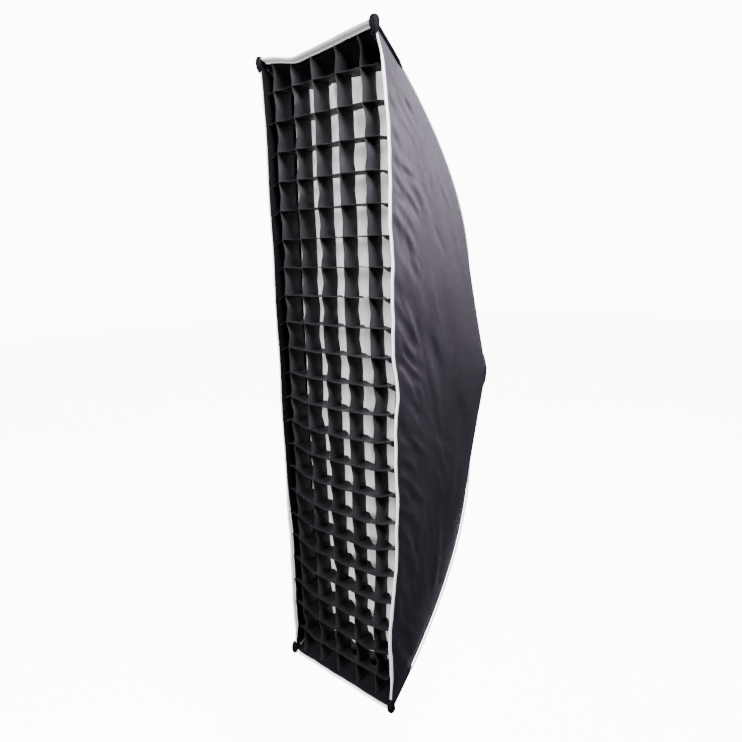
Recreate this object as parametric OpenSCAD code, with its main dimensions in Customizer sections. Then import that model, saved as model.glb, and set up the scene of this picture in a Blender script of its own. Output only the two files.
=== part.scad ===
// Strip softbox with an egg-crate grid and a fold-away rod frame.
// Z is the long axis, X the width, and the mouth faces -Y.
// The origin is the centre of the bayonet seat face, with the spigot towards +Y.

/* [Canopy] */
// Width of the mouth
mouth_width = 300; // [250:1:400]
// Height of the mouth
mouth_height = 1200; // [900:1:1400]
// Distance from the rear edge of the canopy to the mouth
canopy_depth = 380; // [300:1:450]
// Radius of the canopy's rear opening
rear_radius = 78; // [77:0.5:82]
// Thickness of the black outer fabric
fabric_thickness = 0.8; // [0.6:0.1:1]
// Thickness of the silver lining
lining_thickness = 0.4; // [0.3:0.1:0.6]
// How far the long hems bow back in the middle
long_hem_bow = 28; // [0:1:40]
// How far the short hems sag in the middle
short_hem_sag = 16; // [0:1:25]
// Width of the tape that binds the hems
binding_width = 11; // [8:1:16]
// Radius of the piping along the corner seams
piping_radius = 1.5; // [1:0.1:2]

/* [Rod frame] */
// Angle of each rod away from the long axis
rod_azimuth = 13.4; // [12.5:0.1:13.6]
// Radius of a rod
rod_radius = 2.5; // [2:0.1:2.5]
// Distance of a rod's tip from the ring's axis
rod_tip_reach = 604; // [590:1:606]
// Distance of a hinge from the ring's axis
hinge_reach = 70; // [69:0.5:71]
// Radius of a hinge pin
pin_radius = 2.5; // [2:0.1:3]
// Width of a rod socket between its cheeks
socket_width = 14; // [12:0.5:14]
// Thickness of one clevis ear
ear_thickness = 4; // [3:0.5:4]
// Radius of a release button
button_radius = 5; // [4.5:0.1:5.2]
// Travel of a release button
button_travel = 2.5; // [2:0.1:2.8]

/* [Speed ring] */
// Outer radius of the ring plate
ring_radius = 76; // [74:0.5:76]
// Radius of the ring's bearing on the bayonet barrel
bearing_radius = 52; // [51:0.5:53]
// Thickness of the ring plate
ring_thickness = 8; // [6:1:8]
// Inner radius of the light port
port_radius = 43; // [40:0.5:44]
// Outer radius of the bayonet spigot
spigot_radius = 49; // [48:0.1:49.5]
// Length of the bayonet spigot
spigot_length = 11; // [9:1:13]
// Radius over the three bayonet lugs
lug_radius = 54.5; // [53:0.1:56]

/* [Front fabric] */
// Number of uprights in the grid
upright_count = 5; // [4:1:6]
// Number of crosspieces in the grid
crosspiece_count = 22; // [18:1:26]
// Depth of the grid from front to back
grid_depth = 42; // [30:1:48]
// Distance of the grid's front edge behind the hem
grid_recess = 5; // [4:1:12]
// Thickness of a grid strip
grid_strip = 1; // [0.8:0.1:1.5]
// Distance of the front diffuser behind the hem
diffuser_setback = 60; // [58:1:80]
// Thickness of the diffuser cloth
diffuser_thickness = 0.8; // [0.5:0.1:1]
// Distance of the inner baffle behind the bayonet seat
baffle_setback = 195; // [160:1:220]

/* [Hidden] */
half_width = mouth_width / 2;
half_height = mouth_height / 2;
seam_azimuth = atan(half_width / half_height);
mouth_reach = norm([half_width, half_height]);
rear_y = -6;
hem_y = rear_y - canopy_depth;
ring_arc_x = rear_radius * sin(seam_azimuth);
ring_arc_z = rear_radius * cos(seam_azimuth);
side = 0;
top = 1;
seam_rows = 16;
strip_rows = 2;
long_columns = 18;
short_columns = 10;
slope_step = 0.002;
fabric_gap = 0.35;
lining_face = fabric_thickness + fabric_gap;
lining_back = lining_face + lining_thickness;
fastener_face = lining_back + 0.5;
fastener_back = fastener_face + 1;
grid_face = 5.2;
diffuser_side = 128;
diffuser_reach = 534;
column_pitch = mouth_width / (upright_count + 1);
row_pitch = mouth_height / (crosspiece_count + 1);
hinge_y = -20;
plate_y = -4;
plate_front = plate_y - ring_thickness;
running_gap = 0.05;
cheek_gap = 0.3;
socket_reach = 118;
rod_root = 88;
rod_lean = 0.0752;
rod_curve = 0.0013563;
tip_radius = 3.6;
tip_length = 20;
ear_radius = 7.5;
socket_back = -14;
socket_front = -28;
flange_radius = 60;
flange_thickness = 3;
retainer_front = plate_front - 2.6;
screw_circle = 47.5;
screw_radius = 1.6;
pipe_end = 0.905;
pipe_offset = 2;
$fn = 64;

// Canopy shape. t runs from the ring (0) to the hem (1), and s from one seam (-1) to the other (1).
function seam_reach(t) = rear_radius + (mouth_reach - rear_radius) * t;
function seam_x(t) = seam_reach(t) * sin(seam_azimuth);
function seam_z(t) = seam_reach(t) * cos(seam_azimuth);
function seam_y(t) = rear_y - canopy_depth * t * t;
function near_ring(t) = pow(1 - t, 4);
function mid_x(t) = rear_radius + (half_width - rear_radius) * t * t;
function ring_arc(s) =
  (sqrt(pow(rear_radius, 2) - pow(ring_arc_z * s, 2)) - ring_arc_x) / (rear_radius - ring_arc_x);
function bulge(t, s) = near_ring(t) * ring_arc(s) + (1 - near_ring(t)) * (1 - s * s);
function hem_ease(t, s) = pow(1 - s * s, 2) * pow(t, 3);
function side_point(t, s) = [
  seam_x(t) + (mid_x(t) - seam_x(t)) * bulge(t, s),
  seam_y(t) + long_hem_bow * hem_ease(t, s),
  s * seam_z(t)
];
function top_rise(t, s) = (rear_radius - ring_arc_z) * near_ring(t) * (1 - s * s);
function top_point(t, s) = [
  s * seam_x(t),
  seam_y(t),
  seam_z(t) + top_rise(t, s) - short_hem_sag * hem_ease(t, s)
];
function on_canopy(panel, t, s) = panel == side ? side_point(t, s) : top_point(t, s);
function panel_half(panel, t) = panel == side ? seam_z(t) : seam_x(t);
function unit(v) = v / norm(v);
function outward(panel, t, s) =
  let (
    along = on_canopy(panel, t + slope_step, s) - on_canopy(panel, t, s),
    across = on_canopy(panel, t, s + slope_step) - on_canopy(panel, t, s - slope_step)
  )
  unit(panel == side ? cross(across, along) : cross(along, across));
// A point at a depth below the outer face, keeping a margin from both seams.
function inside(panel, t, s, margin, depth) =
  let (k = s * (1 - margin / panel_half(panel, t)))
  on_canopy(panel, t, k) - outward(panel, t, k) * depth;
function flipped(face, flip) = flip ? [for (i = [len(face) - 1:-1:0]) face[i]] : face;

// A sheet of even thickness that follows a canopy panel.
module sheet(panel, from, to, margin, face, back, columns, rows) {
  count = (rows + 1) * (columns + 1);
  points = [
    for (depth = [face, back], i = [0:rows], j = [0:columns])
      inside(panel, from + (to - from) * i / rows, 2 * j / columns - 1, margin, depth)
  ];
  function at(i, j) = i * (columns + 1) + j;
  skins = [
    for (i = [0:rows - 1], j = [0:columns - 1])
      each [
        [at(i, j), at(i + 1, j), at(i + 1, j + 1)],
        [at(i, j), at(i + 1, j + 1), at(i, j + 1)],
        [count + at(i, j), count + at(i + 1, j + 1), count + at(i + 1, j)],
        [count + at(i, j), count + at(i, j + 1), count + at(i + 1, j + 1)]
      ]
  ];
  loop = concat(
    [for (i = [0:rows - 1]) at(i, 0)],
    [for (j = [0:columns - 1]) at(rows, j)],
    [for (i = [rows:-1:1]) at(i, columns)],
    [for (j = [columns:-1:1]) at(0, j)]
  );
  edges = [
    for (k = [0:len(loop) - 1])
      let (a = loop[k], b = loop[(k + 1) % len(loop)])
      each [
        [a, count + a, count + b],
        [a, count + b, b]
      ]
  ];
  polyhedron(points, [for (f = concat(skins, edges)) flipped(f, panel == top)]);
}

// A folded tape around a hem, swept from seam to seam.
module hem_tape(panel, margin, columns) {
  back = 1 - binding_width / norm(on_canopy(panel, 1.0, 0) - on_canopy(panel, 0.99, 0)) / 100;
  web = 1.001;
  front = 1.003;
  leg = 0.9;
  inner = lining_back + fabric_gap + 0.1;
  section = [
    [back, -fabric_gap - leg], [front, -fabric_gap - leg], [front, inner + leg],
    [back, inner + leg], [back, inner], [web, inner], [web, -fabric_gap], [back, -fabric_gap]
  ];
  size = len(section);
  points = [
    for (j = [0:columns], c = section)
      inside(panel, c[0], 2 * j / columns - 1, margin, c[1])
  ];
  walls = [
    for (j = [0:columns - 1], k = [0:size - 1])
      let (a = j * size + k, b = j * size + (k + 1) % size)
      each [
        [a, b, b + size],
        [a, b + size, a + size]
      ]
  ];
  quads = [[0, 1, 6, 7], [1, 2, 5, 6], [2, 3, 4, 5]];
  last = columns * size;
  caps = [
    for (q = quads)
      each [
        [q[0], q[2], q[1]],
        [q[0], q[3], q[2]],
        [last + q[0], last + q[1], last + q[2]],
        [last + q[0], last + q[2], last + q[3]]
      ]
  ];
  polyhedron(points, [for (f = concat(walls, caps)) flipped(f, panel == top)]);
}

// A round bar along a path in the YZ plane. Each path point is [y, z].
module bar(path, radius, sides) {
  last = len(path) - 1;
  points = [
    for (i = [0:last], k = [0:sides - 1])
      let (
        d = unit(path[min(i + 1, last)] - path[max(i - 1, 0)]),
        a = 360 * k / sides
      )
      [
        radius * cos(a),
        path[i][0] + radius * sin(a) * d[1],
        path[i][1] - radius * sin(a) * d[0]
      ]
  ];
  walls = [
    for (i = [0:last - 1], k = [0:sides - 1])
      let (a = i * sides + k, b = i * sides + (k + 1) % sides)
      each [
        [a, a + sides, b + sides],
        [a, b + sides, b]
      ]
  ];
  start = [[for (k = [0:sides - 1]) k]];
  finish = [[for (k = [sides - 1:-1:0]) last * sides + k]];
  polyhedron(points, concat(walls, start, finish));
}

// Places a piece built for the upper right corner at any of the four corners.
module at_corner(corner) {
  if (corner == "ur") children();
  if (corner == "ul") mirror([1, 0, 0]) children();
  if (corner == "lr") mirror([0, 0, 1]) children();
  if (corner == "ll") rotate([0, 180, 0]) children();
}

// Turns a piece built straight up the Z axis into the plane of a rod.
module at_rod(corner) {
  at_corner(corner) rotate([0, rod_azimuth, 0]) children();
}

module disc(radius, from, to) {
  translate([0, from, 0]) rotate([90, 0, 0]) cylinder(r = radius, h = from - to);
}

module ring(outer, inner, from, to) {
  difference() {
    disc(outer, from, to);
    disc(inner, from + 1, to - 1);
  }
}

// Extrudes an outline drawn in X and Z through a span of Y.
module through_y(from, to) {
  translate([0, from, 0]) rotate([90, 0, 0]) linear_extrude(from - to) children();
}

// Extrudes an outline drawn in Y and Z along X, centred on the YZ plane.
module through_x(width) {
  rotate([90, 0, 90]) linear_extrude(width, center = true) children();
}

// Bayonet, bearing and ring.
module bayonet_ring() {
  color("silver")
  difference() {
    union() {
      ring(spigot_radius, port_radius, spigot_length, -1);
      ring(flange_radius, port_radius, 0, -flange_thickness);
      ring(bearing_radius - 2 * running_gap, port_radius, -1, plate_front - 0.2);
      for (a = [30, 150, 270]) rotate([0, a, 0]) lug();
    }
    for (a = [0:60:300]) rotate([0, a, 0]) screw_hole();
  }
}

module lug() {
  rotate([90, 0, 0])
  translate([0, 0, -9])
  rotate([0, 0, -15])
  rotate_extrude(angle = 30)
  translate([port_radius + 2, 0])
  square([lug_radius - port_radius - 2, 4]);
}

module screw_hole() {
  translate([0, 0, screw_circle]) disc(screw_radius + 0.1, -6, retainer_front - 1);
}

module retaining_plate() {
  color("dimgray")
  difference() {
    ring(flange_radius, port_radius + 1, plate_front - 0.4, retainer_front);
    for (a = [0:60:300]) rotate([0, a, 0]) screw_hole();
  }
}

module retainer_screws() {
  color("silver")
  for (a = [0:60:300]) rotate([0, a, 0]) translate([0, 0, screw_circle]) {
    disc(screw_radius, -6.5, retainer_front - 0.2);
    disc(2.8, retainer_front - 0.1, retainer_front - 1.6);
  }
}

module friction_washer() {
  color("gray") ring(59, bearing_radius + 0.5, -flange_thickness - 0.2, -flange_thickness - 0.8);
}

module speed_ring_plate() {
  color("darkgray")
  difference() {
    union() {
      ring(ring_radius, bearing_radius, plate_y, plate_front);
      for (c = ["ur", "ul", "lr", "ll"]) at_rod(c) clevis();
    }
    for (c = ["ur", "ul", "lr", "ll"]) at_rod(c) clevis_bores();
  }
}

module clevis() {
  for (x = [-1, 1]) translate([x * (socket_width / 2 + cheek_gap + ear_thickness / 2), 0, 0]) {
    translate([0, hinge_y, hinge_reach])
    rotate([0, 90, 0])
    cylinder(r = ear_radius, h = ear_thickness, center = true);
    translate([-ear_thickness / 2, hinge_y, hinge_reach - ear_radius])
    cube([ear_thickness, plate_front + 1 - hinge_y, 2 * ear_radius - 1.6]);
  }
}

module clevis_bores() {
  translate([0, hinge_y, hinge_reach]) rotate([0, 90, 0]) {
    translate([0, 0, -20]) cylinder(r = pin_radius + 0.02, h = 20);
    cylinder(r = button_radius + 0.1, h = 20);
  }
}

module hinge_pins() {
  color("silver")
  for (c = ["ur", "ul", "lr", "ll"]) at_rod(c)
    translate([-socket_width / 2 - cheek_gap - ear_thickness, hinge_y, hinge_reach])
    rotate([0, 90, 0])
    cylinder(r = pin_radius, h = socket_width + cheek_gap + ear_thickness + 1.5);
}

module ring_collar() {
  color("black") ring(rear_radius - 1.2, ring_radius + 0.15, 1, plate_front + 1.5);
}

// Rod frame, one arm in each corner.
module rod_socket(corner) {
  color("dimgray")
  at_rod(corner)
  difference() {
    union() {
      translate([0, hinge_y, hinge_reach])
      rotate([0, 90, 0])
      cylinder(r = 6.5, h = socket_width, center = true);
      translate([-socket_width / 2, socket_front, hinge_reach])
      cube([socket_width, socket_back - socket_front, socket_reach - hinge_reach]);
    }
    translate([0, hinge_y, hinge_reach]) rotate([0, 90, 0]) {
      cylinder(r = pin_radius + running_gap, h = socket_width + 2, center = true);
      translate([0, 0, socket_width / 2 - button_travel - 0.7])
      cylinder(r = button_radius + 0.3, h = 10);
    }
    translate([0, rod_line(rod_root - 1), rod_root - 1])
    rotate([atan(rod_lean), 0, 0])
    cylinder(r = rod_radius + 0.1, h = 40);
  }
}

// Depth of a rod's centre line at a distance from the ring's axis.
function rod_line(reach) =
  hinge_y - rod_lean * (reach - 90) - rod_curve * pow(max(reach - socket_reach, 0), 2);

module rod(corner) {
  steps = 24;
  bend = [
    for (i = [0:steps])
      let (r = socket_reach + (rod_tip_reach - socket_reach - 4) * i / steps)
      [rod_line(r), r]
  ];
  color("lightgray")
  at_rod(corner)
  bar(concat([[rod_line(rod_root), rod_root]], bend), rod_radius, 10);
}

module rod_tip(corner) {
  steepness = rod_lean + 2 * rod_curve * (rod_tip_reach - socket_reach);
  color("dimgray")
  at_rod(corner)
  translate([0, rod_line(rod_tip_reach), rod_tip_reach])
  rotate([atan(steepness), 0, 0])
  rod_cap();
}

// A ferrule with a blind bore, with its closed end at the origin and its mouth down the Z axis.
module rod_cap() {
  difference() {
    translate([0, 0, -tip_length]) cylinder(r = tip_radius, h = tip_length);
    translate([0, 0, -tip_length - 1]) cylinder(r = rod_radius + 0.4, h = tip_length - 1);
  }
}

module release_button(corner) {
  nose = socket_width / 2 + 0.15;
  color("red")
  at_rod(corner)
  translate([nose, hinge_y, hinge_reach])
  rotate([0, 90, 0])
  difference() {
    cylinder(r = button_radius, h = 8);
    translate([0, 0, -1]) cylinder(r = pin_radius + running_gap, h = 6.2);
  }
}

// Canopy.
module panel(which) {
  color("black") {
    if (which == side) sheet(side, 0, 1, 0, 0, fabric_thickness, long_columns, seam_rows);
    if (which == top) sheet(top, 0, 1, 1.6, 0, fabric_thickness, short_columns, seam_rows);
  }
}

module lining(which) {
  color("silver") {
    if (which == side) sheet(side, 0, 1, 3, lining_face, lining_back, long_columns, seam_rows);
    if (which == top) sheet(top, 0, 1, 3.6, lining_face, lining_back, short_columns, seam_rows);
  }
}

module binding(which) {
  color("whitesmoke") {
    if (which == side) hem_tape(side, 28, 24);
    if (which == top) hem_tape(top, 12, 8);
  }
}

module piping(corner) {
  path = [
    for (i = [0:seam_rows])
      let (t = 0.02 + (pipe_end - 0.02) * i / seam_rows)
      [seam_y(t), seam_reach(t)] + pipe_offset * unit([mouth_reach - rear_radius, 2 * canopy_depth * t])
  ];
  color("whitesmoke") at_corner(corner) rotate([0, seam_azimuth, 0]) bar(path, piping_radius, 8);
}

module corner_pocket(corner) {
  round = 7;
  low = [half_width - 8, half_height - 26];
  high = [half_width + 5.5, half_height + 8];
  color("black")
  at_corner(corner)
  difference() {
    through_y(hem_y + 14, hem_y - 8) union() {
      translate(low) square(high - low - [round, 0]);
      translate(low) square(high - low - [0, round]);
      translate(high - [round, round]) circle(r = round);
    }
    rotate([90, 0, 90])
    linear_extrude(half_width + 1.2)
    polygon([
      [hem_y - 0.5, 0], [hem_y - 0.5, half_height + 1.4],
      [hem_y + 15, half_height - 9.4], [hem_y + 15, 0]
    ]);
  }
}

// Cloths inside the canopy.
function bow_at(z) = long_hem_bow * pow(1 - pow(z / half_height, 2), 2);
function cloth_side(from, to, reach, steps) = concat(
  [for (i = [-steps:steps]) [from + bow_at(reach * i / steps), reach * i / steps]],
  [for (i = [steps:-1:-steps]) [to + bow_at(reach * i / steps), reach * i / steps]]
);

module front_diffuser() {
  front = hem_y + diffuser_setback;
  color("white")
  intersection() {
    through_x(270) polygon(cloth_side(front - diffuser_thickness, front, diffuser_reach, 10));
    through_y(0, hem_y) cut_corners(diffuser_side, diffuser_reach, 24);
  }
}

module cut_corners(x, z, leg) {
  polygon([
    [x, z - leg], [x - leg, z], [leg - x, z], [-x, z - leg],
    [-x, leg - z], [leg - x, -z], [x - leg, -z], [x, leg - z]
  ]);
}

module inner_baffle() {
  color("white") through_y(-baffle_setback, -baffle_setback - diffuser_thickness) cut_corners(86, 400, 20);
}

module baffle_straps() {
  color("dimgray")
  for (x = [-1, 1], z = [-330, 0, 330])
    translate([x * 96.5, -baffle_setback - 0.4, z]) cube([18, diffuser_thickness, 12], center = true);
}

module diffuser_fastener() {
  color("black") {
    sheet(side, 0.89, 0.925, 45, fastener_face, fastener_back, long_columns, strip_rows);
    mirror([1, 0, 0]) sheet(side, 0.89, 0.925, 45, fastener_face, fastener_back, long_columns, strip_rows);
    sheet(top, 0.89, 0.925, 30, fastener_face, fastener_back, short_columns, strip_rows);
    mirror([0, 0, 1]) sheet(top, 0.89, 0.925, 30, fastener_face, fastener_back, short_columns, strip_rows);
  }
}

module grid_fastener() {
  color("black") {
    sheet(side, 0.945, 0.975, 60, fastener_face, fastener_back, long_columns, strip_rows);
    mirror([1, 0, 0]) sheet(side, 0.945, 0.975, 60, fastener_face, fastener_back, long_columns, strip_rows);
    sheet(top, 0.945, 0.975, 40, fastener_face, fastener_back, short_columns, strip_rows);
    mirror([0, 0, 1]) sheet(top, 0.945, 0.975, 40, fastener_face, fastener_back, short_columns, strip_rows);
  }
}

// Egg-crate grid.
grid_front = hem_y + grid_recess;
grid_back = grid_front + grid_depth;
grid_middle = grid_front + grid_depth / 2;
grid_from = sqrt((rear_y - grid_back) / canopy_depth);
grid_to = sqrt((rear_y - grid_front) / canopy_depth);
grid_wall = grid_face + 1.2;

module grid_border() {
  color("black") {
    sheet(side, grid_from, grid_to, 36, grid_face, grid_wall, long_columns, strip_rows);
    mirror([1, 0, 0]) sheet(side, grid_from, grid_to, 36, grid_face, grid_wall, long_columns, strip_rows);
    sheet(top, grid_from, grid_to, 30, grid_face, grid_wall, short_columns, strip_rows);
    mirror([0, 0, 1]) sheet(top, grid_from, grid_to, 30, grid_face, grid_wall, short_columns, strip_rows);
  }
}

function upright_reach(t, x) =
  top_point(t, x / seam_x(t))[2] - grid_wall * 1.3 - 0.6;

function upright_x(i) = (i - (upright_count + 1) / 2) * column_pitch;
function crosspiece_z(k) = (k - (crosspiece_count + 1) / 2) * row_pitch;

module upright_blank(x) {
  steps = 12;
  low = upright_reach(grid_from, x);
  high = upright_reach(grid_to, x);
  translate([x, 0, 0])
  through_x(grid_strip)
  polygon(concat(
    [for (i = [-steps:steps]) [grid_front + bow_at(high * i / steps), high * i / steps]],
    [for (i = [steps:-1:-steps]) [grid_back + bow_at(low * i / steps), low * i / steps]]
  ));
}

// Notches open towards the back in the uprights, and towards the front in the crosspieces.
module grid_uprights() {
  color("black")
  difference() {
    for (i = [1:upright_count]) upright_blank(upright_x(i));
    for (z = [for (k = [1:crosspiece_count]) crosspiece_z(k)])
      translate([0, grid_middle - 0.2 + bow_at(z) + 30, z])
      cube([mouth_width, 60, grid_strip + 0.2], center = true);
  }
}

module grid_crosspieces() {
  color("black")
  difference() {
    for (k = [1:crosspiece_count]) crosspiece(k);
    for (i = [1:upright_count], z = [for (k = [1:crosspiece_count]) crosspiece_z(k)])
      translate([upright_x(i), grid_middle + 0.2 + bow_at(z) - 30, z])
      cube([grid_strip + 0.2, 60, grid_strip + 2], center = true);
  }
}

module crosspiece(k) {
  bow = bow_at(crosspiece_z(k));
  at_end = k == 1 || k == crosspiece_count;
  trim = at_end ? 24 : 0;
  depth = at_end ? grid_depth - 16 : grid_depth;
  front = seam_x(grid_to) - grid_wall - 1.8 - trim;
  back = seam_x(grid_from) - grid_wall - 1.8 - trim;
  translate([0, 0, crosspiece_z(k) - grid_strip / 2])
  linear_extrude(grid_strip)
  polygon([
    [-front, grid_front + bow], [front, grid_front + bow],
    [back, grid_front + depth + bow], [-back, grid_front + depth + bow]
  ]);
}

bayonet_ring();
retaining_plate();
retainer_screws();
friction_washer();
speed_ring_plate();
hinge_pins();
ring_collar();
panel(side);  // panel_right
mirror([1, 0, 0]) panel(side);  // panel_left
panel(top);  // panel_top
mirror([0, 0, 1]) panel(top);  // panel_bottom
lining(side);  // lining_right
mirror([1, 0, 0]) lining(side);  // lining_left
lining(top);  // lining_top
mirror([0, 0, 1]) lining(top);  // lining_bottom
binding(side);  // binding_right
mirror([1, 0, 0]) binding(side);  // binding_left
binding(top);  // binding_top
mirror([0, 0, 1]) binding(top);  // binding_bottom
piping("ur");  // piping_ur
piping("ul");  // piping_ul
piping("lr");  // piping_lr
piping("ll");  // piping_ll
corner_pocket("ur");  // corner_pocket_ur
corner_pocket("ul");  // corner_pocket_ul
corner_pocket("lr");  // corner_pocket_lr
corner_pocket("ll");  // corner_pocket_ll
inner_baffle();
baffle_straps();
front_diffuser();
diffuser_fastener();
grid_fastener();
rod_socket("ur");  // rod_socket_ur
rod("ur");  // rod_ur
rod_tip("ur");  // rod_tip_ur
release_button("ur");  // release_button_ur
rod_socket("ul");  // rod_socket_ul
rod("ul");  // rod_ul
rod_tip("ul");  // rod_tip_ul
release_button("ul");  // release_button_ul
rod_socket("lr");  // rod_socket_lr
rod("lr");  // rod_lr
rod_tip("lr");  // rod_tip_lr
release_button("lr");  // release_button_lr
rod_socket("ll");  // rod_socket_ll
rod("ll");  // rod_ll
rod_tip("ll");  // rod_tip_ll
release_button("ll");  // release_button_ll
grid_border();
grid_uprights();
grid_crosspieces();
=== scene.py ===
"""Strip softbox with an egg-crate grid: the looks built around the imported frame."""

import math

import bmesh
import bpy
import numpy as np
from mathutils import Matrix, Vector


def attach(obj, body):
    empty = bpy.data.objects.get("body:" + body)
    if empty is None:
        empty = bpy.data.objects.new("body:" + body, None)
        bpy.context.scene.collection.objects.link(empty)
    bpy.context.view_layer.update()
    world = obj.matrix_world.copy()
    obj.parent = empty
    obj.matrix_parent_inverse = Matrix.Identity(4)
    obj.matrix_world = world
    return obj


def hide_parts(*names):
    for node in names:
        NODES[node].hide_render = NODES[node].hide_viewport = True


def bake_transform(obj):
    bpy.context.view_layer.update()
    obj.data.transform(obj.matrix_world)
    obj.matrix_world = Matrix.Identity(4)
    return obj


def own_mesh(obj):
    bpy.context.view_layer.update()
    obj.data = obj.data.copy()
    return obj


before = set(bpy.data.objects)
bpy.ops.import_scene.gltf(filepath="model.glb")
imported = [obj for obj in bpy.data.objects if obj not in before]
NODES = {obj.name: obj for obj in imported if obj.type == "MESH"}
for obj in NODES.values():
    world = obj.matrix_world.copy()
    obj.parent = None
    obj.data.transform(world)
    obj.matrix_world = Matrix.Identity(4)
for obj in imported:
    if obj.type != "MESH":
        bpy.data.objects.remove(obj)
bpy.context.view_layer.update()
MM = 0.001

# ---------------------------------------------------------------- camera
CAMERA_AT = (0.98934, -1.20286, 0.258)
CAMERA_TURN, CAMERA_TILT, CAMERA_ROLL = 46.37, 13.76, -1.56  # degrees
SENSOR, LENS = 36.0, 33.68717  # mm
LENS_SHIFT = (-0.007844, 0.068127)  # of the picture's width


def make_camera():
    """The camera stands low and close on the front right, with a little lens shift."""
    a, e, r = (math.radians(v) for v in (CAMERA_TURN, CAMERA_TILT, CAMERA_ROLL))
    forward = Vector((-math.sin(a) * math.cos(e), math.cos(a) * math.cos(e), -math.sin(e)))
    right = forward.cross(Vector((0, 0, 1))).normalized()
    up = right.cross(forward)
    right, up = (
        right * math.cos(r) + up * math.sin(r),
        up * math.cos(r) - right * math.sin(r),
    )
    data = bpy.data.cameras.new("camera")
    data.sensor_width = SENSOR
    data.lens = LENS
    data.shift_x, data.shift_y = LENS_SHIFT
    data.clip_end = 30
    camera = bpy.data.objects.new("camera", data)
    turn = Matrix((right, up, -forward)).transposed()
    camera.matrix_world = Matrix.Translation(CAMERA_AT) @ turn.to_4x4()
    bpy.context.scene.collection.objects.link(camera)
    bpy.context.scene.camera = camera


make_camera()

# ---------------------------------------------------------------- canopy shape, in mm
RING_R = 78.0  # radius of the canopy where it meets the speed ring
HALF_W, HALF_H = 150.0, 600.0  # half the mouth
DEPTH, REAR = 380.0, -6.0  # from the rear edge to the mouth, and the rear edge's place
HEM_Y = REAR - DEPTH
SEAM_AZ = math.atan2(HALF_W, HALF_H)
SIN, COS = math.sin(SEAM_AZ), math.cos(SEAM_AZ)
REACH = math.hypot(HALF_W, HALF_H)

# A point of the canopy has t, which is 0 at the ring and 1 at the hem,
# and s, which is -1 to 1 across a panel.


def smooth(x):
    """0 below 0, 1 above 1 and a soft step between."""
    x = np.clip(x, 0, 1)
    return x * x * (3 - 2 * x)


def bump(x, at, width):
    """A bell curve of height 1."""
    return np.exp(-(((x - at) / width) ** 2))


def seam_r(t):
    """Distance of a corner seam from the ring's axis."""
    return RING_R + (REACH - RING_R) * t


def seam_y(t):
    return REAR - DEPTH * t * t


def long_bow(z):
    """How far the right hem is pulled back at a height."""
    broad = 25 * (1 - np.exp(-np.clip(HALF_H - z, 0, None) / 60)) * smooth((z + 470) / 230)
    waves = 2.2 + 1.3 * np.sin(z / 31.0 + 0.6) + 0.9 * np.sin(z / 17.0)
    return broad + 7 * bump(z, 0, 45) + waves * smooth((HALF_H - np.abs(z)) / 60)


def left_bow(z):
    """How far the left hem is pulled back at a height."""
    return (2.0 + 0.9 * np.sin(z / 33.0)) * smooth((HALF_H - np.abs(z)) / 60)


def top_sag(x):
    """How far the top hem hangs down. It is lowest a third of the way from the left corner."""
    u = (x + HALF_W) / (2 * HALF_W)
    lowest, at = 17, 0.31
    left_side = lowest * np.clip(u / at, 0, None) ** 1.6
    right_side = lowest * np.clip(1 - u, 0, None) / (1 - at)
    round_off = 2.5
    low = -round_off * np.log(np.exp(-left_side / round_off) + np.exp(-right_side / round_off))
    return np.clip(low, 0, None) * smooth(u / 0.05) * smooth((1 - u) / 0.05) - 3.5


def bottom_sag(x):
    """The bottom hem bows down instead, by 5 mm."""
    return -5.0 * smooth((1 - np.abs(x) / HALF_W) / 0.12)


def bulge(t, s):
    """How far across from seam to middle a side panel stands: round at the ring, bowed further out."""
    arc = (np.sqrt(np.clip(RING_R**2 - (RING_R * COS * s) ** 2, 0, None)) - RING_R * SIN) / (
        RING_R * (1 - SIN)
    )
    near = (1 - np.clip(t, 0, 1)) ** 4
    return near * arc + (1 - near) * (1 - s * s)


def side_points(t, s, hand):
    """hand is 1 for the right panel and -1 for the left one."""
    r = seam_r(t)
    z = s * r * COS
    mid = RING_R + (HALF_W - RING_R) * t * t
    x = r * SIN + (mid - r * SIN) * bulge(t, s)
    bow = long_bow if hand > 0 else left_bow
    y = seam_y(t) + bow(s * HALF_H) * np.clip(t, 0, 2) ** 6
    return np.stack([hand * x, y, z], -1)


def cap_points(t, s, hand):
    """hand is 1 for the top panel and -1 for the bottom one."""
    r = seam_r(t)
    near = (1 - np.clip(t, 0, 1)) ** 4
    sag = top_sag if hand > 0 else bottom_sag
    z = r * COS + RING_R * (1 - COS) * near * (1 - s * s) - sag(s * HALF_W) * np.clip(t, 0, 2) ** 5
    return np.stack([s * r * SIN, seam_y(t) + 0 * s, hand * z], -1)


def normals(points, outward):
    """Unit normals of a grid of points, turned to the side of the outward hint."""
    du = np.gradient(points, axis=0)
    dv = np.gradient(points, axis=1)
    n = np.cross(du, dv)
    n /= np.maximum(np.linalg.norm(n, axis=-1, keepdims=True), 1e-9)
    sign = np.sign((n * np.asarray(outward, float)).sum(-1, keepdims=True))
    return n * np.where(sign == 0, 1, sign)


# ---------------------------------------------------------------- mesh building
def new_mesh(name, verts, faces, materials, face_slots=None, attributes=None):
    """An object from vertices in mm. attributes holds a float for each vertex."""
    mesh = bpy.data.meshes.new(name)
    mesh.from_pydata((np.asarray(verts, float) * MM).tolist(), [], [tuple(map(int, f)) for f in faces])
    for m in materials:
        mesh.materials.append(m)
    if face_slots is not None:
        mesh.polygons.foreach_set("material_index", np.asarray(face_slots, np.int32))
    for key, values in (attributes or {}).items():
        layer = mesh.attributes.new(key, "FLOAT", "POINT")
        layer.data.foreach_set("value", np.asarray(values, np.float32).ravel())
    mesh.polygons.foreach_set("use_smooth", [True] * len(mesh.polygons))
    mesh.validate()
    mesh.update()
    mesh.set_sharp_from_angle(angle=math.radians(50))
    obj = bpy.data.objects.new(name, mesh)
    bpy.context.scene.collection.objects.link(obj)
    return obj


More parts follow.
